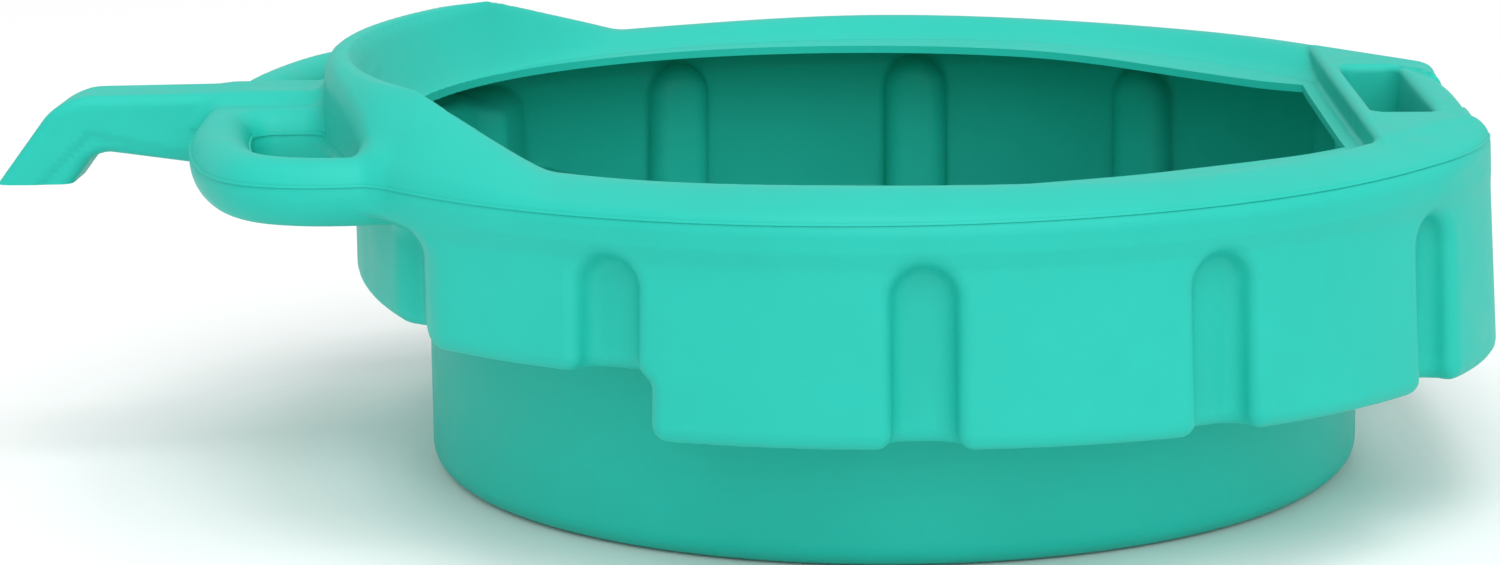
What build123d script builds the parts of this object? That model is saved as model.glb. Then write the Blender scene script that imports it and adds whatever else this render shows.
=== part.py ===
"""Oil drain pan: a blow-moulded, thin-walled pan with a splash rim, a raised pour guard,
a bent pour spout between two loop handles, and a grip deck with a finger hole opposite.

The pan is worked out as one hollow moulding, an outer form less a cavity form one wall
smaller, and that moulding is then parted along its form lines into named sections that
meet face to face. Origin: centre of the sump's base on the ground, +Z up, spout towards
-X, grip deck towards +X. Millimetres.
"""
from build123d import *
from math import cos, radians, sin
import os

os.makedirs("parts", exist_ok=True)

# Wall of the moulding, the same all over
WALL = 3.0

# Sump, the round drum that the pan stands on
SUMP_RADIUS = 175.0
SUMP_HEEL = 9.0
SUMP_FLOOR_TOP = 12.0

# Skirt around the sump: deep on the deck side, shallow at the pour end
SKIRT_FOOT_RADIUS = 231.0
SKIRT_TOP_RADIUS = 228.0
SKIRT_HEEL = 6.0
DEEP_SHELF = 55.0
POUR_SHELF = 75.5
SHELF_BAND = 9.0
STEP_BEARING = 110.5
FAR_STEP_BEARING = 130.0

# Rim: a band above the skirt, the parting line, the crest and the trimmed lip inside it
RIM_RADIUS = 229.0
RIM_BAND = 119.0
PARTING = 130.0
CREST_RADIUS = 205.0
CREST_PEAK = 140.0
CREST_ROUND = 16.0
SHOULDER_ROUND = 5.0
FLANGE_RADIUS = 184.0
FLANGE_ROUND = 6.0
LIP = 130.0

# Mouth: a circle set towards the spout, with a straight side along the deck
MOUTH_RADIUS = 168.0
MOUTH_CENTRE = -14.0
MOUTH_CHORD = 162.0
MOUTH_CHORD_HALF = 72.0

# Flutes pressed into the skirt
FLUTE_BEARINGS = (35.0, 61.5, 87.5, 113.3, 136.0)
FLUTE_WIDTH = 21.0
FLUTE_FLOOR_RADIUS = 219.0
POUR_FLUTE_FLOOR_RADIUS = 203.0
FLUTE_TOP = 116.5
FLUTE_REACH = 60.0

# Pour end: the wall under the guard, the guard itself and its falling ends
POUR_BEARING = 138.0
POUR_WALL_RADIUS = 210.0
GUARD_CREST = 157.5
GUARD_CREST_WIDTH = 11.0
GUARD_ROUND = 5.0
GUARD_WALL_FOOT = 142.0
GUARD_FALL_X = -159.0
GUARD_FALL_ANGLE = 21.3
GUARD_BEARING = 114.0

# Grip deck and its finger hole
END_X = 218.0
END_ROUND = 20.0
DECK = 137.5
DECK_START = 168.5
DECK_RADIUS = 213.0
FINGER_X = 185.75
FINGER_LENGTH = 112.0
FINGER_WIDTH = 22.5
FINGER_ROUND = 7.0

# Pour spout, seen from the side
SPOUT_WIDTH = 32.0
SPOUT_ROOT_X = -196.0
SPOUT_ROOT_TOP = 140.5
SPOUT_ROOT_FOOT = 102.0
SPOUT_BEND_X = -308.0
SPOUT_BEND_TOP = 139.0
SPOUT_BEND_ROUND = 12.0
SPOUT_ELBOW_X = -296.0
SPOUT_ELBOW = 116.3
SPOUT_ELBOW_ROUND = 5.0
SPOUT_LEG_LEAN = 0.75
SPOUT_TIP = 104.8
SPOUT_TIP_SPARE = 15.0
SPOUT_TRIM = (84.0, 64.0)
SPOUT_ROUND = 8.0

# Loop handles: the near one, which is mirrored for the far one
HANDLE_ROUTE = ((-153, -119), (-188, -134), (-222, -134), (-243.5, -84), (-243.5, -6))
HANDLE_LEVEL = 124.2
HANDLE_WIDTH = 22.0
HANDLE_HEIGHT = 23.6
HANDLE_BEND = 20.0
SPOUT_SIDE = 19.0

# Long enough to pass right through the pan in any direction, and just clear of a face
REACH = 500.0
CLEAR = 1.0


def polar(radius, bearing):
    """Plan point at a radius, its bearing counted from +X."""
    return radius * cos(radians(bearing)), radius * sin(radians(bearing))


def beyond(bearing, low, high, shift=0.0, far_bearing=None):
    """Everything further round from +X than a bearing, between two levels. The far side may have its own."""
    near, far = radians(bearing), radians(far_bearing or bearing)
    apex_x = shift * (cos(near) + cos(far)) / sin(near + far)
    apex_y = shift * (sin(far) - sin(near)) / sin(near + far)
    sides = (REACH * cos(far), REACH * sin(far)), (REACH * cos(near), -REACH * sin(near))
    with BuildPart() as sector:
        with BuildSketch(Plane.XY.offset(low)):
            Polygon((apex_x, apex_y), sides[0], (-REACH, REACH), (-REACH, -REACH), sides[1], align=None)
        extrude(amount=high - low)
    return sector.part


def slab(low, high):
    """Everything between two levels."""
    with BuildPart() as layer:
        with BuildSketch(Plane.XY.offset(low)):
            Rectangle(2 * REACH, 2 * REACH)
        extrude(amount=high - low)
    return layer.part


def column(radius, low, high):
    """A round column about the pan's axis."""
    with BuildPart() as post:
        with BuildSketch(Plane.XY.offset(low)):
            Circle(radius)
        extrude(amount=high - low)
    return post.part


def basin_form(skin):
    """The round body, sump to lip, one skin inside its true surface."""
    with BuildPart() as basin:
        with BuildSketch(Plane.XZ):
            with BuildLine():
                Polyline(
                    (0, skin),
                    (SUMP_RADIUS - skin, skin),
                    (SUMP_RADIUS - skin, DEEP_SHELF + skin),
                    (SKIRT_FOOT_RADIUS - skin, DEEP_SHELF + skin),
                    (SKIRT_TOP_RADIUS - skin, RIM_BAND),
                    (RIM_RADIUS - skin, RIM_BAND),
                    (RIM_RADIUS - skin, PARTING),
                    (CREST_RADIUS, CREST_PEAK - skin),
                    (FLANGE_RADIUS, LIP - skin),
                    (0, LIP - skin),
                    close=True,
                )
            make_face()
            rounds = (
                (SUMP_RADIUS, skin, SUMP_HEEL - skin),
                (SKIRT_FOOT_RADIUS, DEEP_SHELF + skin, SKIRT_HEEL - skin),
                (RIM_RADIUS, PARTING, SHOULDER_ROUND - skin),
                (CREST_RADIUS + skin, CREST_PEAK - skin, CREST_ROUND - skin),
                (FLANGE_RADIUS + skin, LIP - skin, FLANGE_ROUND + skin),
            )
            for radius, level, corner_round in rounds:
                corner = vertices().sort_by_distance((radius - skin, level))[0]
                fillet(corner, corner_round)
        revolve(axis=Axis.Z)
        # the shallow shelf at the pour end, which starts further round on the far side
        relief = beyond(STEP_BEARING, -CLEAR, POUR_SHELF + skin, skin, FAR_STEP_BEARING)
        add(relief - column(SUMP_RADIUS - skin, -CLEAR, REACH), mode=Mode.SUBTRACT)
    return basin.part


def plan_limit(skin):
    """The pan's outline in plan: round, cut square at the deck and drawn in at the pour end."""
    with BuildPart() as limit:
        with BuildSketch():
            Circle(SKIRT_FOOT_RADIUS - skin)
            with Locations((END_X - skin, 0)):
                Rectangle(REACH, 2 * REACH, align=(Align.MIN, Align.CENTER), mode=Mode.SUBTRACT)
            fillet(vertices(), END_ROUND - skin)
        extrude(amount=REACH)
        ring = beyond(POUR_BEARING, -CLEAR, REACH, skin) - column(POUR_WALL_RADIUS - skin, -CLEAR, REACH)
        add(ring, mode=Mode.SUBTRACT)
    return limit.part


def flute(bearing, skin):
    """One flute: an upright groove with a round head, open at its foot."""
    floor_radius = POUR_FLUTE_FLOOR_RADIUS if bearing == max(FLUTE_BEARINGS) else FLUTE_FLOOR_RADIUS
    half = FLUTE_WIDTH / 2 + skin
    x, y = polar(floor_radius - skin, bearing)
    outward = polar(1, bearing)
    across = polar(1, bearing + 90)
    with BuildPart() as groove:
        with BuildSketch(Plane(origin=(x, y, 0), x_dir=(*across, 0), z_dir=(*outward, 0))):
            Rectangle(2 * half, FLUTE_TOP + skin - half, align=(Align.CENTER, Align.MIN))
            with Locations((0, FLUTE_TOP + skin - half)):
                Circle(half)
        extrude(amount=FLUTE_REACH)
    return groove.part


def guard_form(skin):
    """The raised guard around the pour end, with both its ends cut down at a slope."""
    with BuildPart() as guard:
        with BuildSketch(Plane.XZ):
            with BuildLine():
                Polyline(
                    (FLANGE_RADIUS, LIP - skin),
                    (POUR_WALL_RADIUS - GUARD_CREST_WIDTH + skin / 2, GUARD_CREST - skin),
                    (POUR_WALL_RADIUS - skin, GUARD_CREST - skin),
                    (POUR_WALL_RADIUS - skin, GUARD_WALL_FOOT - skin),
                    (RIM_RADIUS - skin, PARTING),
                    (RIM_RADIUS - skin, RIM_BAND),
                    (FLANGE_RADIUS, RIM_BAND),
                    close=True,
                )
            make_face()
            fillet(vertices().group_by(Axis.Y)[-1], GUARD_ROUND - skin)
        revolve(axis=Axis.Z)
        add(beyond(GUARD_BEARING, 0, REACH), mode=Mode.INTERSECT)
        fall = Plane(
            origin=(GUARD_FALL_X, 0, GUARD_CREST - skin),
            z_dir=(sin(radians(GUARD_FALL_ANGLE)), 0, cos(radians(GUARD_FALL_ANGLE))),
        )
        split(bisect_by=fall, keep=Keep.BOTTOM)
    return guard.part


def deck_form(skin):
    """The flat grip deck at the end opposite the spout."""
    with BuildPart() as deck:
        with BuildSketch(Plane.XY.offset(RIM_BAND)):
            Circle(DECK_RADIUS - skin)
            with Locations((DECK_START + skin, 0)):
                Rectangle(REACH, 2 * REACH, align=(Align.MAX, Align.CENTER), mode=Mode.SUBTRACT)
        extrude(amount=DECK - skin - RIM_BAND)
    return deck.part


def finger_form(skin):
    """The finger hole, right down through the deck and out under it."""
    with BuildPart() as hole:
        with BuildSketch():
            with Locations((FINGER_X, 0)):
                RectangleRounded(FINGER_WIDTH + 2 * skin, FINGER_LENGTH + 2 * skin, FINGER_ROUND + skin)
        extrude(amount=REACH)
    return hole.part


def spout_form(skin):
    """The spout: straight out from the guard, then bent down to a level-cut tip."""
    foot = SPOUT_TIP - SPOUT_TIP_SPARE
    with BuildPart() as spout:
        with BuildSketch(Plane.XZ.offset(-SPOUT_WIDTH / 2 + skin)):
            with BuildLine():
                Polyline(
                    (SPOUT_ROOT_X, SPOUT_ROOT_TOP),
                    (SPOUT_BEND_X, SPOUT_BEND_TOP),
                    (SPOUT_BEND_X - SPOUT_LEG_LEAN * (SPOUT_BEND_TOP - foot), foot),
                    (SPOUT_ELBOW_X - SPOUT_LEG_LEAN * (SPOUT_ELBOW - foot), foot),
                    (SPOUT_ELBOW_X, SPOUT_ELBOW),
                    (SPOUT_ROOT_X, SPOUT_ROOT_FOOT),
                    close=True,
                )
            make_face()
            fillet(vertices().sort_by_distance((SPOUT_BEND_X, SPOUT_BEND_TOP))[0], SPOUT_BEND_ROUND)
            fillet(vertices().sort_by_distance((SPOUT_ELBOW_X, SPOUT_ELBOW))[0], SPOUT_ELBOW_ROUND)
            if skin:
                offset(amount=-skin, kind=Kind.INTERSECTION, mode=Mode.REPLACE)
        extrude(amount=SPOUT_WIDTH - 2 * skin)
        fillet(faces().filter_by(Axis.Y).edges(), SPOUT_ROUND - skin)
    return spout.part


def handle_form(skin):
    """The near loop handle: a rounded tube from the rim round to the spout."""
    with BuildPart() as handle:
        with BuildLine(Plane.XY.offset(HANDLE_LEVEL)) as route:
            FilletPolyline(*HANDLE_ROUTE, radius=HANDLE_BEND)
        with BuildSketch(Plane(origin=route.line @ 0, z_dir=route.line % 0)):
            Ellipse(HANDLE_HEIGHT / 2 - skin, HANDLE_WIDTH / 2 - skin)
        sweep()
    return handle.part


def pan_form(skin):
    """The whole pan as a plain solid, one skin inside its true surface."""
    near_handle = handle_form(skin)
    with BuildPart() as form:
        add(basin_form(skin))
        add(guard_form(skin))
        add(deck_form(skin))
        add(plan_limit(skin), mode=Mode.INTERSECT)
        for bearing in FLUTE_BEARINGS:
            for side in (1, -1):
                add(flute(side * bearing, skin), mode=Mode.SUBTRACT)
        add(finger_form(skin), mode=Mode.SUBTRACT)
        add(spout_form(skin))
        add(near_handle)
        add(mirror(near_handle, about=Plane.XZ))
    return form.part


def mouth():
    """The mouth that is trimmed out of the moulding's top."""
    with BuildPart() as cutter:
        with BuildSketch(Plane.XY.offset(LIP - WALL - CLEAR)):
            with BuildLine():
                CenterArc((MOUTH_CENTRE, 0), MOUTH_RADIUS, 0, 360)
                Line((MOUTH_CHORD, -MOUTH_CHORD_HALF), (MOUTH_CHORD, MOUTH_CHORD_HALF))
            make_hull()
        extrude(amount=REACH)
    return cutter.part


def deck_side():
    """Everything on the deck's side of the step up from the flange."""
    with BuildPart() as side:
        with Locations((DECK_START, 0, 0)):
            Box(REACH, REACH, REACH, align=(Align.MIN, Align.CENTER, Align.MIN))
    return side.part


# The moulding: the outer form less the cavity, with the mouth and the spout's tip trimmed open
with BuildPart() as moulding:
    add(pan_form(0))
    add(pan_form(WALL), mode=Mode.SUBTRACT)
    add(mouth(), mode=Mode.SUBTRACT)
    with Locations((SPOUT_BEND_X, 0, SPOUT_TIP)):
        below = (Align.CENTER, Align.CENTER, Align.MAX)
        Box(*SPOUT_TRIM, 2 * SPOUT_TIP_SPARE, align=below, mode=Mode.SUBTRACT)

# The spaces that the named sections lie in
above_band = slab(RIM_BAND, REACH)
pour_side = beyond(STEP_BEARING, -CLEAR, REACH)
guard_end = beyond(GUARD_BEARING, -CLEAR, REACH)
past_pour_wall = beyond(POUR_BEARING, -CLEAR, REACH) - column(POUR_WALL_RADIUS, -CLEAR, REACH)
inside_flange = column(FLANGE_RADIUS, RIM_BAND, REACH) - deck_side()
finger_walls = finger_form(WALL) & slab(DEEP_SHELF + WALL, DECK - WALL)

with BuildPart() as sump_floor:
    add(moulding.part)
    add(slab(-CLEAR, SUMP_FLOOR_TOP), mode=Mode.INTERSECT)

with BuildPart() as sump_wall:
    add(moulding.part)
    add(slab(SUMP_FLOOR_TOP, DEEP_SHELF), mode=Mode.INTERSECT)

with BuildPart() as deep_shelf:
    add(moulding.part)
    add(slab(DEEP_SHELF, DEEP_SHELF + SHELF_BAND), mode=Mode.INTERSECT)
    add([pour_side, finger_walls], mode=Mode.SUBTRACT)

with BuildPart() as pour_shelf:
    add(moulding.part)
    add(slab(DEEP_SHELF, POUR_SHELF + SHELF_BAND), mode=Mode.INTERSECT)
    add(pour_side, mode=Mode.INTERSECT)

with BuildPart() as deep_skirt:
    add(moulding.part)
    add(slab(DEEP_SHELF + SHELF_BAND, RIM_BAND), mode=Mode.INTERSECT)
    add([pour_side, finger_walls], mode=Mode.SUBTRACT)

with BuildPart() as pour_skirt:
    add(moulding.part)
    add(slab(POUR_SHELF + SHELF_BAND, RIM_BAND), mode=Mode.INTERSECT)
    add(pour_side, mode=Mode.INTERSECT)
    add(past_pour_wall, mode=Mode.SUBTRACT)

with BuildPart() as finger_well:
    add(moulding.part)
    add(finger_walls, mode=Mode.INTERSECT)

with BuildPart() as mouth_lip:
    add(moulding.part)
    add(inside_flange, mode=Mode.INTERSECT)

with BuildPart() as grip_deck:
    add(moulding.part)
    add(above_band, mode=Mode.INTERSECT)
    add(deck_side(), mode=Mode.INTERSECT)
    add(finger_walls, mode=Mode.SUBTRACT)

with BuildPart() as pour_guard:
    add(moulding.part)
    add(above_band, mode=Mode.INTERSECT)
    add(guard_end, mode=Mode.INTERSECT)
    add([inside_flange, past_pour_wall], mode=Mode.SUBTRACT)

with BuildPart() as both_rims:
    add(moulding.part)
    add(above_band, mode=Mode.INTERSECT)
    add([guard_end, inside_flange, deck_side()], mode=Mode.SUBTRACT)

with BuildPart() as near_rim:
    add(both_rims.part)
    split(bisect_by=Plane.XZ, keep=Keep.TOP)

with BuildPart() as far_rim:
    add(both_rims.part)
    split(bisect_by=Plane.XZ, keep=Keep.BOTTOM)

with BuildPart() as pour_fittings:
    add(moulding.part)
    add(past_pour_wall, mode=Mode.INTERSECT)

with BuildPart() as pour_spout:
    add(pour_fittings.part)
    with BuildSketch():
        Rectangle(2 * REACH, 2 * SPOUT_SIDE)
    extrude(amount=REACH, mode=Mode.INTERSECT)

with BuildPart() as near_handle:
    add(pour_fittings.part)
    split(bisect_by=Plane.XZ.offset(SPOUT_SIDE), keep=Keep.TOP)

with BuildPart() as far_handle:
    add(pour_fittings.part)
    split(bisect_by=Plane.XZ.offset(-SPOUT_SIDE), keep=Keep.BOTTOM)

finished = {
    "sump_floor": sump_floor,
    "sump_wall": sump_wall,
    "deep_shelf": deep_shelf,
    "pour_shelf": pour_shelf,
    "deep_skirt": deep_skirt,
    "pour_skirt": pour_skirt,
    "finger_well": finger_well,
    "mouth_lip": mouth_lip,
    "grip_deck": grip_deck,
    "pour_guard": pour_guard,
    "near_rim": near_rim,
    "far_rim": far_rim,
    "pour_spout": pour_spout,
    "near_handle": near_handle,
    "far_handle": far_handle,
}
for name, piece in finished.items():
    piece.part.label = name
    export_step(piece.part, f"parts/{name}.step")
    print(name, len(piece.part.solids()), round(piece.part.volume / 1000, 1), "cm3")
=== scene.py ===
import math

import bmesh
import bpy
import numpy as np
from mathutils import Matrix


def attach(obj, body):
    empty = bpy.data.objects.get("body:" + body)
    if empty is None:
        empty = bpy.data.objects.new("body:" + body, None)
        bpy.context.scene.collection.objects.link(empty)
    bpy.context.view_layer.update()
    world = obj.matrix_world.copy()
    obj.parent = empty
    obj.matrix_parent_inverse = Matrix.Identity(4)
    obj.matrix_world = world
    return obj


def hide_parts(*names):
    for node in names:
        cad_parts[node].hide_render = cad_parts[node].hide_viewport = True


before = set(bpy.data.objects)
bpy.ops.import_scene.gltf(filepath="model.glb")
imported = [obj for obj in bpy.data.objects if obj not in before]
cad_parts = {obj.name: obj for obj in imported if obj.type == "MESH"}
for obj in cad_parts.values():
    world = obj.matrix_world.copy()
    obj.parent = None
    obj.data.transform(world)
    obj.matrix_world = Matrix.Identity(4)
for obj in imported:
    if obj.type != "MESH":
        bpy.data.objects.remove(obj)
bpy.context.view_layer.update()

import openvdb as vdb
from mathutils import Vector

MM = 0.001
WALL = 3.0
GRID = 2.0
LOW = (-358.0, 0.0, -8.0)
HIGH = (230.0, 244.0, 168.0)
OUTSIDE = 40.0

# sump, and the skirt round it with its deep and its shallow shelf
SUMP_RADIUS = 175.0
SUMP_HEEL = 9.0
SUMP_TOP = 100.0
SUMP_EDGE = 4.0
SUMP_FILL = 4.0
DEEP_SHELF = 55.0
POUR_SHELF = 75.5
STEP_BEARING = 110.5
FAR_STEP_BEARING = 130.0
TILT = 0.015
SKIRT_FOOT = 6.0
STEP_EDGE = 6.0
STEP_FILL = 3.0
POUR_EDGE = 5.0
UPPER_EDGE = 4.5
FLARE_LEVELS = (57.0, 114.0, 119.5)
FLARE = (2.0, -1.3, 0.0)

# flutes: bearing and the radius of the floor
FLUTES = ((35.0, 219.0), (61.5, 219.0), (87.5, 219.0), (114.4, 219.0))
FLUTE_HALF = 10.5
FLUTE_TOP = 115.0
FLUTE_CORNER = 6.0
FLUTE_EDGE = 5.5

# rim: parting line, crest, and the lip strip inside it
PARTING = 130.0
RIM_RADIUS = 229.0
CREST_RADIUS = 205.0
CREST = 138.0
CREST_TOP_X = -10.0
POUR_DIP = (1.2, 90.0)
DECK_DIP = (1.5, 130.0)
LIP = 130.0
LIP_RADIUS = 170.0
LIP_FALL = (3.1, 50.0, 110.0)
CREASE_RADIUS = 184.0
CREASE_RISE = 0.9
CREASE_DEPTH = 0.5
CREASE_WIDTH = 1.3
CREASE_OUT = 0.6
OUTER_CURVE = 1.7
PROFILE_DEPTH = 40.0
PROFILE_REACH = 0.4

# deck end: flat and slightly swept, with a recess in the middle
CORNER_BEARING = 38.2
CORNER_ROUND = 25.0
END_X = 218.4
END_SWEEP = 2668.0
END_LEAN = 0.055
END_RECESS = 4.0
RECESS_HALF = 58.0
RECESS_SIDE = 16.0
DECK = 137.8
DECK_START = 168.5
DECK_LEAN = 0.08
DECK_RADIUS = 216.0
DECK_FALL = (131.0, 1.2)
DECK_EDGE = 3.0
DECK_SIDE_EDGE = 6.0
DECK_FILL = 1.5
END_EDGE = 9.0
HOLE_X = 185.8
HOLE_HALF = (11.3, 56.0)
HOLE_CORNER = 6.0
HOLE_DRAFT = 0.03
HOLE_EDGE = 3.2

# pour end: the skirt's wall, its end wall with an arched top, and the guard over it
POUR_END = (-161.6, 135.0, 0.15)
POUR_WALL_RADIUS = 290.5
POUR_WALL_CENTRE = 90.0
POUR_WALL_SIDE = 131.5
POUR_CORNER = 9.0
BLEND = (114.0, 12.0)
ARCH = 12.0
ARCH_FOOT = 104.5
ARCH_CAP = (8.0, 116.0, 3.0)
ARCH_FILL = (3.0, 12.0, 108.0, 12.0)
GUARD_WALL_RADIUS = 211.0
GUARD_CREST = 156.6
GUARD_FALL = (-163.8, 0.41)
GUARD_INSET = 3.6
GUARD_BAND = 5.0
GUARD_BAND_START = 2.0
GUARD_BAND_RUN = 22.0
GUARD_SOFT = (1.6, 0.8)
GUARD_INSET_RATE = 1.6
GUARD_FOOT_INSET = 1.5
GUARD_CURVE = 1.3
GUARD_OUTER_CURVE = 0.35
CREST_SOFT = (0.6, 2.2, 3.0)
SLOPE_END = 1.3

# spout: a bent arm with a leaning leg, a little narrower below its flash line
SPOUT_TOP = (139.4, 0.016, -266)
SPOUT_UNDER = (113.6, 0.135, -265)
SPOUT_OUTER = (-310.5, 139.0)
SPOUT_INNER = (-298.0, 118.0)
SPOUT_LEAN = 0.75
SPOUT_SQUARE = 0.8
SPOUT_HALF = 16.0
SPOUT_ROOT_X = -200.0
SPOUT_LOW = 96.0
SPOUT_BEND = 9.0
SPOUT_ELBOW = 5.0
SPOUT_END_EDGE = 3.0
SPOUT_SIDE_EDGE = 4.5
SPOUT_STEP = (1.1, 4.0)
STEP_ARM = (119.8, 0.209, -265)
STEP_LEG = (-300.0, 0.99, 126.9)
TIP_BOX = ((-380, -30, 60), (-290, 30, 105.6))

# handles: elliptical tubes, joined to the spout by a web
HANDLE_LEVEL = 124.2
HANDLE_HALF = (11.0, 11.8)
HANDLE_ROUTE = (
    (-160, 129),
    (-182, 135),
    (-203, 136),
    (-221, 128),
    (-233, 106),
    (-243, 66),
    (-246, 36),
    (-246, 0),
)
WEB_X = (-248.0, -205.0)
WEB_HALF = 34.0
WEB_EDGE = 4.0
WEB_FILL = 9.0
HANDLE_FILL = 8.0
SPOUT_FILL = 7.0

# flash on the parting line: how proud, how thick, and the line's level along X
FLASH = 0.5
FLASH_THICK = 0.8
FLASH_LINE = (129.6, 0.0085)
FLASH_X = (-262.0, 240.0)
FLASH_HALF_Y = 260.0
FLASH_RADIUS = 209.5
FLASH_HEIGHTS = (100.0, 160.0)

# trimmed mouth: straight along the deck, round elsewhere
MOUTH_X = 162.0
MOUTH_HALF = 73.0
MOUTH_RADIUS = 169.0
MOUTH_CENTRE = -14.0
MOUTH_TURN = (50, 310, 131)
MOUTH_HEIGHTS = (122.0, 180.0)

# meshing: the least slope that is trusted, the most a point moves at once in cells, and the reach for normals
SLOPE_LEAST = 0.3
MOVE_MOST = 0.4
NORMAL_REACH = 0.35
# how far a face's own normal has to agree with the field's to be shaded smooth, or to be no trimmed face
SMOOTH_CORNER = 0.75
TRIMMED_FACE = 0.6

# seams between the sections
FAR = 400.0
BEYOND = (FAR, FAR, FAR)
FITTING_BEARING = 139.5
FITTING_RADIUS = 214.5
SPOUT_SEAM = 20.0
UPPER_SEAM = 118.0
LIP_SEAM = 187.0
DECK_SEAM = 165.0
GUARD_BEARING = 114.0
SKIRT_BEARING = 112.0
WELL = ((171, -60.5, 60), (200.8, 60.5, FAR))
FLOOR_SEAM = 12.0
SUMP_SEAM = 52.0
SHELF_SEAM = 9.0
FITTING_HEIGHTS = (100, 180)
CORE_HEIGHTS = (60, 200)
LIP_HEIGHTS = (100, 200)
WEDGE_HEIGHTS = (0, 200)


def both(a, b, r):
    """Two forms' common part, its edge rounded to a radius."""
    return np.minimum(-r, np.maximum(a, b)) + np.hypot(np.maximum(a + r, 0), np.maximum(b + r, 0))


def either(a, b, r):
    """Two forms together, the corner between them filled to a radius."""
    return np.maximum(r, np.minimum(a, b)) - np.hypot(np.maximum(r - a, 0), np.maximum(r - b, 0))


def ease(t):
    """A soft step from 0 to 1 as t goes from 0 to 1."""
    t = np.clip(t, 0, 1)
    return t * t * (3 - 2 * t)


def sector(x, y, bearing):
    """Distance past a bearing, negative on the grip deck's side of it."""
    b = math.radians(bearing)
    return -x * math.sin(b) + y * math.cos(b)


def smaller(a, b, k):
    """The smaller of two values, with a soft change from one to the other over k."""
    h = np.maximum(k - np.abs(a - b), 0) / k
    return np.minimum(a, b) - h * h * k / 4


def rim_top(r, x):
    """Height of the rim's top: strip, crease, wall, crest and outer slope, raised into the guard."""
    base = CREST - POUR_DIP[0] * ease((CREST_TOP_X - x) / POUR_DIP[1])
    base = base - DECK_DIP[0] * ease((x - CREST_TOP_X) / DECK_DIP[1])
    fall = GUARD_CREST - GUARD_FALL[1] * (x - GUARD_FALL[0])
    crest = smaller(-smaller(-fall, -base, GUARD_SOFT[0]), GUARD_CREST, GUARD_SOFT[1])
    guard = (crest - base) / (GUARD_CREST - base)
    band = ease((GUARD_FALL[0] + GUARD_BAND_START - x) / GUARD_BAND_RUN)
    dip, dip_start, dip_run = LIP_FALL
    foot = LIP + CREASE_RISE - dip * ease((x - dip_start) / dip_run)
    strip_width = CREASE_RADIUS - LIP_RADIUS
    strip = foot - CREASE_RISE * (CREASE_RADIUS - np.clip(r, LIP_RADIUS, CREASE_RADIUS)) / strip_width
    # the crease is a fine groove that fades out under the guard
    crease = CREASE_DEPTH * (1 - guard) * np.exp(-(((r - CREASE_RADIUS - CREASE_OUT) / CREASE_WIDTH) ** 2))
    ridge = CREST_RADIUS - GUARD_INSET * ease(GUARD_INSET_RATE * guard)
    start = CREASE_RADIUS - GUARD_FOOT_INSET * guard
    t = np.maximum((r - start) / (ridge - start), 0)
    # an S-shaped rise for the splash rim, a nearly straight one for the guard
    rise = (1 - guard) * ease(t) + guard * (t**GUARD_CURVE + np.maximum(t - 1, 0))
    wall = strip - crease + (crest - foot) * rise
    edge = ridge + GUARD_BAND * band
    u = np.clip((r - edge) / (RIM_RADIUS - edge), 0, SLOPE_END)
    slope = crest - (crest - PARTING) * u ** (OUTER_CURVE - GUARD_OUTER_CURVE * guard)
    least, for_guard, for_band = CREST_SOFT
    return smaller(wall, slope, least + for_guard * guard + for_band * band)


def route_distance(x, y):
    """Plan distance to the handle's centre line, its corners cut three times over."""
    route = np.array(HANDLE_ROUTE, float)
    for _ in range(3):
        a, b = route[:-1], route[1:]
        inner = np.stack([0.75 * a + 0.25 * b, 0.25 * a + 0.75 * b], 1).reshape(-1, 2)
        route = np.vstack([route[:1], inner, route[-1:]])
    best = np.full(np.broadcast(x, y).shape, 1e9, np.float32)
    for (ax, ay), (bx, by) in zip(route[:-1], route[1:]):
        ux, uy = bx - ax, by - ay
        t = np.clip(((x - ax) * ux + (y - ay) * uy) / (ux * ux + uy * uy), 0, 1)
        best = np.minimum(best, np.hypot(x - ax - t * ux, y - ay - t * uy))
    return best


def spout(x, y, z):
    """Distance to the spout: an arm between its top and underside, then a leg between two leaning faces."""
    top = z - (SPOUT_TOP[0] + SPOUT_TOP[1] * (x - SPOUT_TOP[2]))
    outer = (SPOUT_OUTER[0] - SPOUT_LEAN * (SPOUT_OUTER[1] - z) - x) * SPOUT_SQUARE
    under = (SPOUT_UNDER[0] - SPOUT_UNDER[1] * (x - SPOUT_UNDER[2])) - z
    inner = (x - SPOUT_INNER[0] + SPOUT_LEAN * (SPOUT_INNER[1] - z)) * SPOUT_SQUARE
    side = both(both(top, outer, SPOUT_BEND), either(under, inner, SPOUT_ELBOW), SPOUT_END_EDGE)
    arm = STEP_ARM[0] - STEP_ARM[1] * (x - STEP_ARM[2]) - z
    leg = x - STEP_LEG[0] + STEP_LEG[1] * (STEP_LEG[2] - z)
    width = SPOUT_HALF - SPOUT_STEP[0] * ease(np.minimum(arm, leg) / SPOUT_STEP[1])
    tube = both(side, y - width, SPOUT_SIDE_EDGE)
    return np.maximum(np.maximum(tube, x - SPOUT_ROOT_X), SPOUT_LOW - z)


def handle(x, y, z):
    """Distance to a handle's elliptical tube and the web beside the spout."""
    across, upright = HANDLE_HALF
    web = both(both(WEB_X[0] - x, x - WEB_X[1], WEB_EDGE), y - WEB_HALF, WEB_EDGE)
    plan = np.maximum(either(route_distance(x, y) - across, web, WEB_FILL) + across, 0)
    a, b = plan / across, (z - HANDLE_LEVEL) / upright
    size = np.hypot(a, b)
    return size * (size - 1) / np.maximum(np.hypot(a / across, b / upright), 1e-3)


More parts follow.
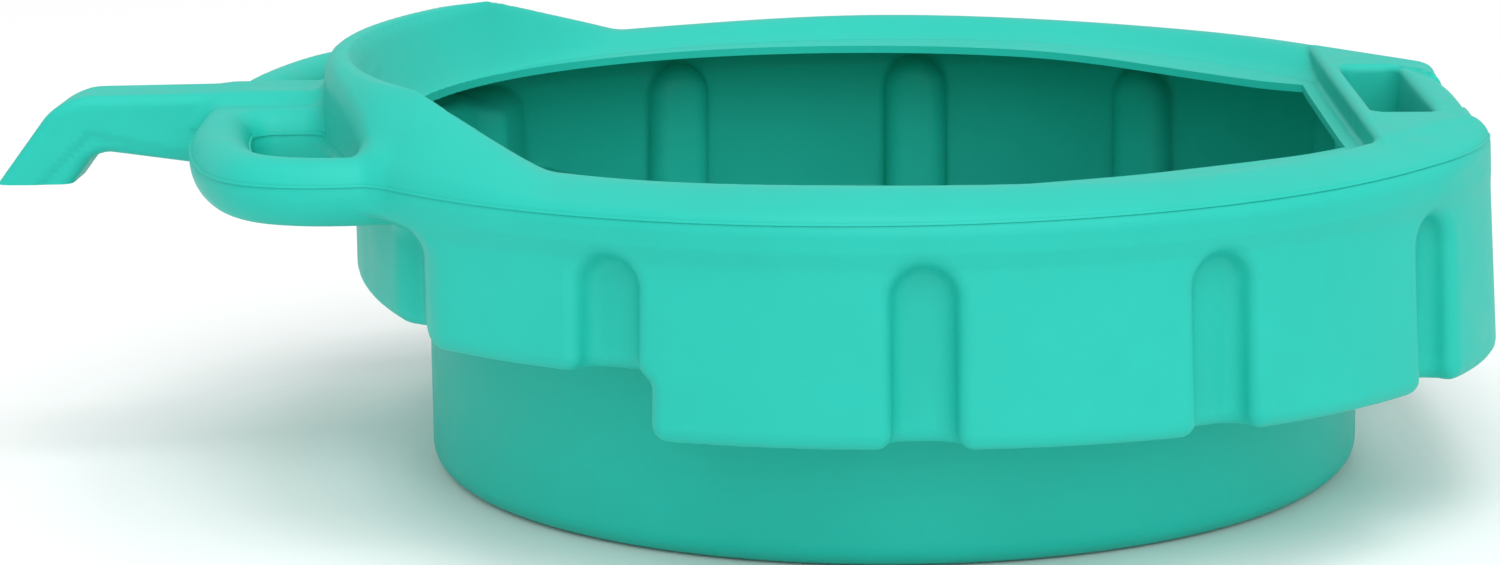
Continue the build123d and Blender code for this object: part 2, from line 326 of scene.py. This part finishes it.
def skirt_outline(x, y, z, plan):
    """Distances in plan to the flared skirt, round but for its swept and recessed end, and to the end."""
    flare = np.interp(z, FLARE_LEVELS, FLARE).astype(np.float32)
    recess = END_RECESS * (1 - ease((y - RECESS_HALF) / RECESS_SIDE))
    end = x - (END_X + END_LEAN * (PARTING - z)) + y * y / END_SWEEP + recess
    return both(plan - flare, end, CORNER_ROUND), end


def pour_wall(x, y, z, r):
    """Distance to the wall at the pour end. It turns from the skirt's shape into the guard's as it rises."""
    low_wall = both(np.hypot(x - POUR_WALL_CENTRE, y) - POUR_WALL_RADIUS, y - POUR_WALL_SIDE, POUR_CORNER)
    share = ease((z - BLEND[0]) / BLEND[1])
    bow = np.sqrt(np.maximum(ARCH**2 - np.clip(z - ARCH_FOOT, 0, ARCH) ** 2, 0))
    cap, cap_start, cap_run = ARCH_CAP
    arch = ARCH - bow + cap * ease((z - cap_start) / cap_run)
    end_x, end_y, end_slope = POUR_END
    past = (end_x + end_slope * (y - end_y) - x) / np.hypot(1.0, end_slope) - arch
    least, more, fill_start, fill_run = ARCH_FILL
    fill = least + more * ease((z - fill_start) / fill_run)
    return either(low_wall + share * (r - GUARD_WALL_RADIUS - low_wall), past, fill)


def rim_and_deck(x, y, z, radius, end):
    """Distance under the rim's top and the deck standing on it."""
    height = rim_top(radius, x)
    reach = PROFILE_REACH
    lean = (rim_top(radius + reach, x) - rim_top(radius - reach, x)) / (2 * reach)
    top = (z - height) / np.hypot(1.0, lean)
    slab = both(DECK_START - x - DECK_LEAN * (z - LIP), z - DECK, DECK_EDGE)
    deck = both(slab, radius - DECK_RADIUS + DECK_FALL[1] * (z - DECK_FALL[0]), DECK_SIDE_EDGE)
    return both(either(top, deck, DECK_FILL), end, END_EDGE)


def pan(x, y, z):
    """Distance to the moulding's outer surface, negative inside. Only the step differs between the sides."""
    far = y > 0
    y = np.abs(y)
    r = np.hypot(x, y)
    b = math.radians(CORNER_BEARING)
    straight = x * math.cos(b) + y * math.sin(b)
    plan = np.where(sector(x, y, CORNER_BEARING) > 0, r, straight) - RIM_RADIUS
    # the rim's profile follows the outline, and is round inside it
    radius = np.where(plan > -PROFILE_DEPTH, RIM_RADIUS + plan, r)
    outline, end = skirt_outline(x, y, z, plan)
    pour = pour_wall(x, y, z, r)
    upper = rim_and_deck(x, y, z, radius, end)

    # skirt: deep on the deck's side of the step, shallow past it
    tilt = TILT * np.maximum(x, 0)
    step = np.where(far, sector(x, y, FAR_STEP_BEARING), sector(x, y, STEP_BEARING))
    deep = both(DEEP_SHELF - tilt - z, step, STEP_EDGE)
    foot = either(deep, POUR_SHELF - z, STEP_FILL)
    body = both(both(both(outline, pour, POUR_EDGE), foot, SKIRT_FOOT), upper, UPPER_EDGE)
    for bearing, floor in FLUTES:
        t = math.radians(bearing)
        along = x * math.cos(t) + y * math.sin(t)
        rise = np.maximum(z + tilt - FLUTE_TOP + FLUTE_HALF, 0)
        across = np.hypot(sector(x, y, bearing), rise) - FLUTE_HALF
        body = both(body, -both(across, floor - along, FLUTE_CORNER), FLUTE_EDGE)

    # finger hole, right through the deck and the skirt
    past_x = np.maximum(np.abs(x - HOLE_X) - HOLE_HALF[0] + HOLE_CORNER, 0)
    past_y = np.maximum(y - HOLE_HALF[1] + HOLE_CORNER, 0)
    hole = np.hypot(past_x, past_y) - HOLE_CORNER
    hole = hole + HOLE_DRAFT * (DECK - z)
    body = both(body, -hole, HOLE_EDGE)

    sump = both(both(r - SUMP_RADIUS, -z, SUMP_HEEL), z - SUMP_TOP, SUMP_EDGE)
    form = either(body, sump, SUMP_FILL)
    return either(either(form, handle(x, y, z), HANDLE_FILL), spout(x, y, z), SPOUT_FILL)


def gradient(p, reach=0.12):
    """The field and its slope at points."""

    def at(q):
        return pan(q[:, 0], q[:, 1], q[:, 2])

    slope = [(at(p + d) - at(p - d)) / (2 * reach) for d in np.eye(3) * reach]
    return at(p), np.stack(slope, 1)


def surfaces(levels):
    """Meshes of the pan at depths under its outer surface: for each, its points and its triangles."""
    axes = [np.arange(a, b + GRID / 2, GRID, dtype=np.float32) for a, b in zip(LOW, HIGH)]
    along, up = axes[0][:, None, None], axes[2][None, None, :]
    halves = [pan(along, side * axes[1][None, :, None], up).astype(np.float32) for side in (-1, 1)]
    field = np.concatenate([halves[0][:, :0:-1], halves[1]], 1)
    grid = vdb.FloatGrid()
    grid.background = OUTSIDE
    grid.copyFromArray(np.ascontiguousarray(field))
    start = np.array((LOW[0], -axes[1][-1], LOW[2]))
    for level in levels:
        points, triangles, quads = grid.convertToPolygons(level, 0.0)
        points = points.astype(float) * GRID + start
        for _ in range(3):
            value, slope = gradient(points)
            steep = np.maximum((slope**2).sum(1), SLOPE_LEAST)
            step = np.clip((value - level) / steep, -MOVE_MOST * GRID, MOVE_MOST * GRID)
            points -= slope * step[:, None]
        faces = np.vstack([triangles.reshape(-1, 3), quads[:, [0, 1, 2]], quads[:, [0, 2, 3]]])
        yield points, faces.astype(int)


def mesh_object(name, points, faces):
    """A mesh object in metres from points in millimetres."""
    mesh = bpy.data.meshes.new(name)
    faces = faces.tolist() if isinstance(faces, np.ndarray) else faces
    mesh.from_pydata(np.asarray(points) * MM, [], faces)
    obj = bpy.data.objects.new(name, mesh)
    bpy.context.scene.collection.objects.link(obj)
    return obj


def face_outward(obj):
    """Turns a closed mesh the right way out if it is inside out, and gives its volume."""
    check = bmesh.new()
    check.from_mesh(obj.data)
    volume = check.calc_volume(signed=True)
    check.free()
    if volume < 0:
        obj.data.flip_normals()
    return abs(volume)


def prism(outline, low, high):
    """An upright prism over a plan outline that runs anticlockwise."""
    n = len(outline)
    points = [(x, y, low) for x, y in outline] + [(x, y, high) for x, y in outline]
    sides = [(i, (i + 1) % n, n + (i + 1) % n, n + i) for i in range(n)]
    return mesh_object("cutter", points, [tuple(range(n - 1, -1, -1)), tuple(range(n, 2 * n))] + sides)


def box(low, high):
    """A box between two corners."""
    plan = [(low[0], low[1]), (high[0], low[1]), (high[0], high[1]), (low[0], high[1])]
    return prism(plan, low[2], high[2])


def arc(radius, start, stop, count, centre=0.0):
    """Points round an arc in plan, its bearings in degrees from +X."""
    turn = np.radians(np.linspace(start, stop, count))
    return [(centre + radius * math.cos(t), radius * math.sin(t)) for t in turn]


def circle(radius):
    """Points all the way round a circle in plan."""
    return arc(radius, 0, 360, 181)[:-1]


def cut(obj, cutter, operation):
    """The mesh of obj after a boolean with cutter."""
    tool = obj.modifiers.new("cut", "BOOLEAN")
    tool.operation, tool.object, tool.solver = operation, cutter, "MANIFOLD"
    made = bpy.data.meshes.new_from_object(obj.evaluated_get(bpy.context.evaluated_depsgraph_get()))
    obj.modifiers.remove(tool)
    return made


def part(obj, cutter):
    """Splits obj in two: what lies in the cutter, and what doesn't. Both the cutter and obj are used up."""
    halves = []
    for operation in ("INTERSECT", "DIFFERENCE"):
        half = bpy.data.objects.new("half", cut(obj, cutter, operation))
        bpy.context.scene.collection.objects.link(half)
        halves.append(half)
    bpy.data.objects.remove(cutter)
    bpy.data.objects.remove(obj)
    return halves


def trim(obj, cutter):
    """Cuts the cutter away from obj and uses it up."""
    obj.data = cut(obj, cutter, "DIFFERENCE")
    bpy.data.objects.remove(cutter)


def flash_bead(proud, proud_faces, inner, inner_faces):
    """A thin bead along the parting line, round the rim and the handles, cut from a slightly larger pan."""
    bead = mesh_object("bead", proud, proud_faces)
    face_outward(bead)
    start, stop = FLASH_X
    level = [FLASH_LINE[0] + FLASH_LINE[1] * x for x in (start, stop, stop, start)]
    sides = (-FLASH_HALF_Y, -FLASH_HALF_Y, FLASH_HALF_Y, FLASH_HALF_Y)
    corners = list(zip((start, stop, stop, start), sides, level))
    points = [(x, y, z + side * FLASH_THICK / 2) for side in (-1, 1) for x, y, z in corners]
    faces = [(3, 2, 1, 0), (4, 5, 6, 7), (0, 1, 5, 4), (1, 2, 6, 5), (2, 3, 7, 6), (3, 0, 4, 7)]
    slab = mesh_object("cutter", points, faces)
    bead.data = cut(bead, slab, "INTERSECT")
    bpy.data.objects.remove(slab)
    trim(bead, prism(circle(FLASH_RADIUS), *FLASH_HEIGHTS))
    cavity = mesh_object("cavity", inner, inner_faces)
    face_outward(cavity)
    trim(bead, cavity)
    return bead


def moulding():
    """The whole wall with its flash, trimmed open at the mouth and at the spout's tip."""
    (outer, outer_faces), (inner, inner_faces), (proud, proud_faces) = surfaces((0.0, -WALL, FLASH))
    faces = np.vstack([outer_faces[:, ::-1], inner_faces + len(outer)])
    shell = mesh_object("shell", np.vstack([outer, inner]), faces)
    volume = face_outward(shell)
    print("shell volume, cm3", round(volume * 1e6))
    bead = flash_bead(proud, proud_faces, inner, inner_faces)
    shell.data = cut(shell, bead, "UNION")
    bpy.data.objects.remove(bead)
    straight = [(MOUTH_X, -MOUTH_HALF), (MOUTH_X, MOUTH_HALF)]
    trim(shell, prism(straight + arc(MOUTH_RADIUS, *MOUTH_TURN, MOUTH_CENTRE), *MOUTH_HEIGHTS))
    trim(shell, box(*TIP_BOX))
    return shell


def wedge(bearing, low, high):
    """A prism over everything past a bearing, on both sides."""
    x, y = arc(FAR, bearing, bearing, 1)[0]
    return prism([(0.5, 0), (x, y), (-FAR, FAR), (-FAR, -FAR), (x, -y)], low, high)


def sections(shell):
    """The shell parted into one closed piece for each CAD node."""
    made = {}
    past_wall = wedge(FITTING_BEARING, *FITTING_HEIGHTS)
    trim(past_wall, prism(circle(FITTING_RADIUS), *CORE_HEIGHTS))
    fittings, rest = part(shell, past_wall)
    made["pour_spout"], handles = part(fittings, box((-FAR, -SPOUT_SEAM, 0), (0, SPOUT_SEAM, FAR)))
    made["far_handle"], made["near_handle"] = part(handles, box((-FAR, 0, 0), (0, FAR, FAR)))
    upper, lower = part(rest, box((-FAR, -FAR, UPPER_SEAM), BEYOND))
    turn = math.degrees(math.acos(DECK_SEAM / LIP_SEAM))
    lip = prism(arc(LIP_SEAM, turn, 360 - turn, 151), *LIP_HEIGHTS)
    made["mouth_lip"], upper = part(upper, lip)
    made["grip_deck"], upper = part(upper, box((DECK_SEAM, -FAR, 0), BEYOND))
    made["pour_guard"], upper = part(upper, wedge(GUARD_BEARING, *WEDGE_HEIGHTS))
    made["far_rim"], made["near_rim"] = part(upper, box((-FAR, 0, 0), BEYOND))
    made["finger_well"], lower = part(lower, box(*WELL))
    made["sump_floor"], lower = part(lower, box((-FAR, -FAR, -FAR), (FAR, FAR, FLOOR_SEAM)))
    made["sump_wall"], lower = part(lower, box((-FAR, -FAR, -FAR), (FAR, FAR, SUMP_SEAM)))
    pour, deep = part(lower, wedge(SKIRT_BEARING, *WEDGE_HEIGHTS))
    pour_slice = box((-FAR, -FAR, 0), (FAR, FAR, POUR_SHELF + SHELF_SEAM))
    made["pour_shelf"], made["pour_skirt"] = part(pour, pour_slice)
    deep_slice = box((-FAR, -FAR, 0), (FAR, FAR, DEEP_SHELF + SHELF_SEAM))
    made["deep_shelf"], made["deep_skirt"] = part(deep, deep_slice)
    return made


def shade(obj):
    """Normals from the field itself, so that the sections' joints don't show.

    Trimmed faces stay flat and get the second material.
    """
    mesh = obj.data
    points = np.empty(len(mesh.vertices) * 3, np.float32)
    mesh.vertices.foreach_get("co", points)
    points = points.reshape(-1, 3).astype(float) / MM
    _, slope = gradient(points, NORMAL_REACH)
    slope /= np.maximum(np.linalg.norm(slope, axis=1), 1e-9)[:, None]
    count = len(mesh.polygons)
    face_normal = np.empty(count * 3, np.float32)
    mesh.polygons.foreach_get("normal", face_normal)
    face_normal = face_normal.reshape(-1, 3)
    corner_point = np.empty(len(mesh.loops), np.int32)
    mesh.loops.foreach_get("vertex_index", corner_point)
    sides = np.empty(count, np.int32)
    mesh.polygons.foreach_get("loop_total", sides)
    corner_face = np.repeat(np.arange(count), sides)
    smooth_normal, flat_normal = slope[corner_point], face_normal[corner_face]
    agree = (smooth_normal * flat_normal).sum(1)
    alike = (np.abs(agree) > SMOOTH_CORNER)[:, None]
    normals = np.where(alike, smooth_normal * np.sign(agree)[:, None], flat_normal)
    mean = np.bincount(corner_face, np.abs(agree), count) / sides
    mesh.polygons.foreach_set("material_index", (mean < TRIMMED_FACE).astype(np.int32))
    mesh.polygons.foreach_set("use_smooth", np.ones(count, bool))
    mesh.normals_split_custom_set(normals.tolist())
    mesh.update()


def node(tree, kind, x, **inputs):
    """A shader node at a place along the tree, with constants on its sockets."""
    made = tree.nodes.new(kind)
    made.location = (x, 0)
    for name, value in inputs.items():
        made.inputs[name.replace("_", " ")].default_value = value
    return made


NOISE_SPAN = (0.3, 0.7)
FINE_SHARE = 0.35


def plastic(title, base, dark, rough, grain):
    """Moulded polyethylene: slow shifts of tint, and a satin skin with fine orange peel."""
    material = bpy.data.materials.new(title)
    material.use_nodes = True
    tree = material.node_tree
    shader = tree.nodes["Principled BSDF"]
    link = tree.links.new
    place = node(tree, "ShaderNodeTexCoord", -1400)
    clouds = node(tree, "ShaderNodeTexNoise", -1100, Scale=9.0, Detail=3.0, Roughness=0.5)
    flow = node(tree, "ShaderNodeTexNoise", -1100, Scale=60.0, Detail=4.0, Roughness=0.6)
    peel = node(tree, "ShaderNodeTexNoise", -1100, Scale=grain, Detail=4.0, Roughness=0.55)
    for texture in (clouds, flow, peel):
        link(place.outputs["Object"], texture.inputs["Vector"])
    blend = node(tree, "ShaderNodeMix", -800)
    blend.data_type = "FLOAT"
    blend.inputs[0].default_value = FINE_SHARE
    link(clouds.outputs["Fac"], blend.inputs[2])
    link(flow.outputs["Fac"], blend.inputs[3])
    tint = node(tree, "ShaderNodeValToRGB", -600)
    for stop, position, colour in zip(tint.color_ramp.elements, NOISE_SPAN, (dark, base)):
        stop.position = position
        stop.color = (*colour, 1)
    link(blend.outputs[0], tint.inputs["Fac"])
    link(tint.outputs["Color"], shader.inputs["Base Color"])
    polish = node(tree, "ShaderNodeMapRange", -600)
    low, high = NOISE_SPAN
    spans = {"From Min": low, "From Max": high, "To Min": rough - 0.05, "To Max": rough + 0.06}
    for name, value in spans.items():
        polish.inputs[name].default_value = value
    link(flow.outputs["Fac"], polish.inputs["Value"])
    link(polish.outputs["Result"], shader.inputs["Roughness"])
    bump = node(tree, "ShaderNodeBump", -300, Strength=0.12, Distance=0.0003)
    link(peel.outputs["Fac"], bump.inputs["Height"])
    link(bump.outputs["Normal"], shader.inputs["Normal"])
    shader.inputs["IOR"].default_value = 1.5
    shader.inputs["Specular IOR Level"].default_value = 0.2
    return material


teal = plastic("teal_polyethylene", (0.019, 0.520, 0.422), (0.016, 0.476, 0.384), 0.5, 900.0)
trimmed = plastic("trimmed_polyethylene", (0.024, 0.610, 0.500), (0.019, 0.550, 0.450), 0.6, 1500.0)

for name, obj in sections(moulding()).items():
    obj.name = obj.data.name = name + "_moulded"
    shade(obj)
    obj.data.materials.clear()
    obj.data.materials.append(teal)
    obj.data.materials.append(trimmed)
    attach(obj, "root")
    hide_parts(name)
    print(name, len(obj.data.polygons))

# plain pale floor
FLOOR_HALF = 9000
FLOOR_LEVEL = -0.3
corners = [(FLOOR_HALF * x, FLOOR_HALF * y, FLOOR_LEVEL) for x, y in ((-1, -1), (1, -1), (1, 1), (-1, 1))]
floor = mesh_object("floor", corners, [(0, 1, 2, 3)])
paper = bpy.data.materials.new("paper")
paper.use_nodes = True
surface = paper.node_tree.nodes["Principled BSDF"]
surface.inputs["Base Color"].default_value = (0.93, 0.93, 0.93, 1)
surface.inputs["Roughness"].default_value = 0.9
surface.inputs["Specular IOR Level"].default_value = 0.1
floor.data.materials.append(paper)

# white room and soft lights
world = bpy.data.worlds.new("studio")
world.use_nodes = True
background = world.node_tree.nodes["Background"]
background.inputs["Color"].default_value = (1, 1, 1, 1)
background.inputs["Strength"].default_value = 0.68
bpy.context.scene.world = world

SOFTBOX_PLACE = Vector((0.1, -0.5, 2.4))
SOFTBOX_AIM = Vector((0, 0, 0.1))
lamp = bpy.data.lights.new("top", "AREA")
lamp.shape = "RECTANGLE"
lamp.size = 1.6
lamp.size_y = 1.2
lamp.energy = 18
softbox = bpy.data.objects.new("top", lamp)
softbox.location = SOFTBOX_PLACE
softbox.rotation_euler = (SOFTBOX_AIM - SOFTBOX_PLACE).to_track_quat("-Z", "Y").to_euler()
bpy.context.scene.collection.objects.link(softbox)

sun = bpy.data.objects.new("sun", bpy.data.lights.new("sun", "SUN"))
sun.data.energy = 1.35
sun.data.angle = math.radians(60)
sun.rotation_euler = (math.radians(52), 0, math.radians(14))
bpy.context.scene.collection.objects.link(sun)

# camera, at the height and distance that the pan's round outlines call for, in metres
CAMERA_DISTANCE = 1.473
CAMERA_ELEVATION = math.radians(11.12)
CAMERA_AIM = 0.07856
CAMERA_ROLL = math.radians(0.29)
camera = bpy.data.objects.new("camera", bpy.data.cameras.new("camera"))
bpy.context.scene.collection.objects.link(camera)
camera.location = (
    0,
    -CAMERA_DISTANCE * math.cos(CAMERA_ELEVATION),
    CAMERA_AIM + CAMERA_DISTANCE * math.sin(CAMERA_ELEVATION),
)
camera.rotation_euler = (math.radians(90) - CAMERA_ELEVATION, CAMERA_ROLL, 0)
camera.data.lens = 93.26
camera.data.sensor_width = 36.0
camera.data.shift_x = -0.0931
camera.data.shift_y = -0.0258
camera.data.clip_start = 0.05
camera.data.clip_end = 50.0
bpy.context.scene.camera = camera
bpy.context.scene.view_settings.view_transform = "Standard"
